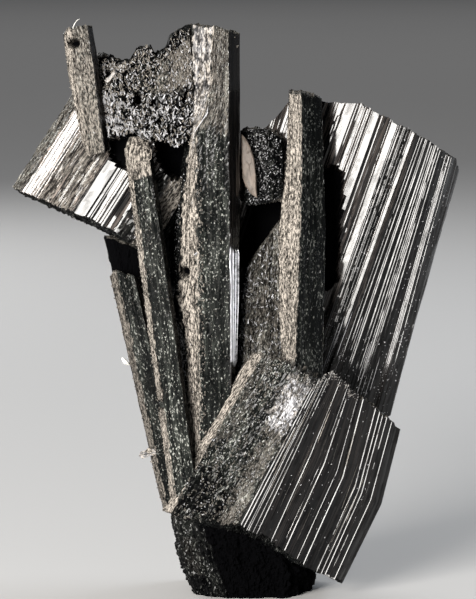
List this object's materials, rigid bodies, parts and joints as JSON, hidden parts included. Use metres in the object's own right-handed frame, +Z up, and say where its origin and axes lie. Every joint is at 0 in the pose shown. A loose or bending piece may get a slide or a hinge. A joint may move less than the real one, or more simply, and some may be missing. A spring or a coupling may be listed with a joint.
{
  "type": "mineral crystal cluster specimen",
  "caption": "Miniature arfvedsonite specimen: intergrown black striated prisms leaning out of one broken root, with a pale flake and a white grain caught on them.",
  "frame": {"origin": "a point near the middle of the flat foot that the specimen stands on, at floor height", "axes": "+Z up along the tall central prism, -Y towards the front with the leaning prisms and the ridged block, +X to the right as seen from the front"},
  "size_m": [0.0407, 0.0195, 0.0517],
  "materials": {
    "black_amphibole": "glossy black with grey-green frosted and rough broken faces",
    "pale_mineral": "satin, beige with a pinkish tint",
    "white_mineral": "dull white"
  },
  "bodies": {
    "root": {"crystal_cluster": "black_amphibole", "pale_flake": "pale_mineral", "white_grain": "white_mineral"}
  },
  "joints": []
}
